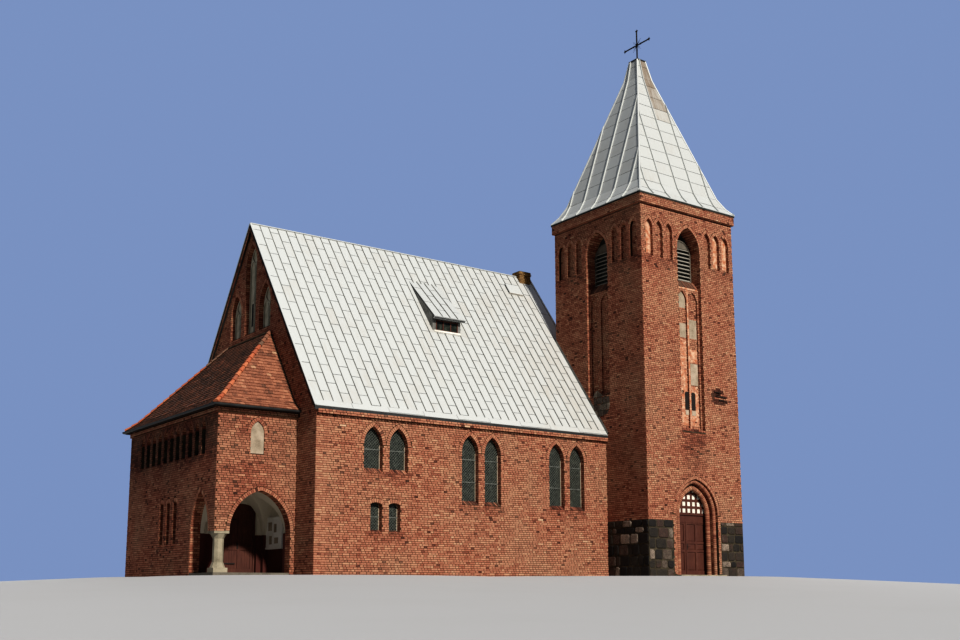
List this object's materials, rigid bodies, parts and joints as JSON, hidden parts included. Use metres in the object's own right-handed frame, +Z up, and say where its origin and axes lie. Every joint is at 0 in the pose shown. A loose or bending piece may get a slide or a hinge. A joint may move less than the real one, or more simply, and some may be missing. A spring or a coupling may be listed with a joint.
{
  "type": "church building",
  "caption": "Brick village church with a steep metal-roofed nave, a square tower under a helm roof and a tiled two-storey porch with an open corner loggia; doors open.",
  "frame": {"origin": "centre of the whole building's box at ground level, over the nave floor", "axes": "+Z up; +X runs east along the nave, from the porch to the tower; +Y runs north, away from the portal"},
  "size_m": [21.885, 13.935, 24.43],
  "materials": {
    "red_brick": "weathered orange-red brick in lime mortar",
    "granite": "split field granite in wide mortar joints",
    "limestone": "dressed pale stone, weathered",
    "plaster": "matt lime plaster",
    "concrete": "trowelled concrete",
    "clay_tile": "plain unglazed clay tiles, weathered",
    "sheet_roof": "pale weathered galvanised sheet with standing seams",
    "dark_metal": "dark painted sheet metal",
    "painted_timber": "oxblood painted softwood joinery",
    "weathered_timber": "pale weathered boards",
    "white_board": "white painted board",
    "window_glass": "dark leaded glass",
    "wrought_iron": "dark weathered wrought iron"
  },
  "bodies": {
    "building": {"nave_floor": "concrete", "nave_south_wall": "red_brick", "nave_north_wall": "red_brick", "west_gable_wall": "red_brick", "east_gable_wall": "red_brick", "south_window_glass": "window_glass", "north_window_glass": "window_glass", "nave_roof_south": "sheet_roof", "nave_roof_north": "sheet_roof", "ridge_cap": "sheet_roof", "dormer_walls": "sheet_roof", "dormer_roof": "sheet_roof", "dormer_window": "window_glass", "roof_hatch": "sheet_roof", "chimney": "red_brick", "porch_floor": "concrete", "porch_south_wall": "red_brick", "porch_south_pier": "red_brick", "porch_west_wall": "red_brick", "porch_west_wall_upper": "red_brick", "porch_north_wall": "red_brick", "corner_column": "limestone", "loggia_wall_west": "plaster", "loggia_wall_east": "plaster", "loggia_wall_head": "plaster", "main_door_frame": "painted_timber", "porch_upper_floor": "plaster", "porch_upper_glass": "window_glass", "porch_lower_glass": "window_glass", "porch_roof": "clay_tile", "porch_gutter": "dark_metal", "notice_board": "white_board", "tower_plinth_south_left": "granite", "tower_plinth_south_right": "granite", "tower_plinth_west": "granite", "tower_plinth_north": "granite", "tower_plinth_east": "granite", "tower_wall_portal_left": "red_brick", "tower_wall_portal_right": "red_brick", "tower_wall_south": "red_brick", "tower_wall_west": "red_brick", "tower_wall_north": "red_brick", "tower_wall_east": "red_brick", "tower_floor": "concrete", "portal_step": "granite", "portal_surround": "red_brick", "tower_door_frame": "painted_timber", "belfry_louvres_south": "weathered_timber", "belfry_louvres_east": "weathered_timber", "belfry_louvres_north": "weathered_timber", "belfry_louvres_west": "weathered_timber", "tower_cornice": "red_brick", "helm_roof": "sheet_roof", "tower_cross": "wrought_iron"},
    "main_door_leaf": {"main_door": "painted_timber"},
    "tower_leaf_left": {"tower_door_left": "painted_timber"},
    "tower_leaf_right": {"tower_door_right": "painted_timber"}
  },
  "joints": [
    {"name": "main_door_hinge", "type": "hinge", "parent": "building", "child": "main_door_leaf", "pos_m": [-9.2162, -0.5195, 0.1203], "axis": [0, 0, 1], "range_deg": [0, 90]},
    {"name": "tower_door_left_hinge", "type": "hinge", "parent": "building", "child": "tower_leaf_left", "pos_m": [7.2455, -6.2115, 0.1203], "axis": [0, 0, 1], "range_deg": [0, 90]},
    {"name": "tower_door_right_hinge", "type": "hinge", "parent": "building", "child": "tower_leaf_right", "pos_m": [9.0395, -6.2115, 0.1203], "axis": [0, 0, -1], "range_deg": [0, 90]}
  ]
}
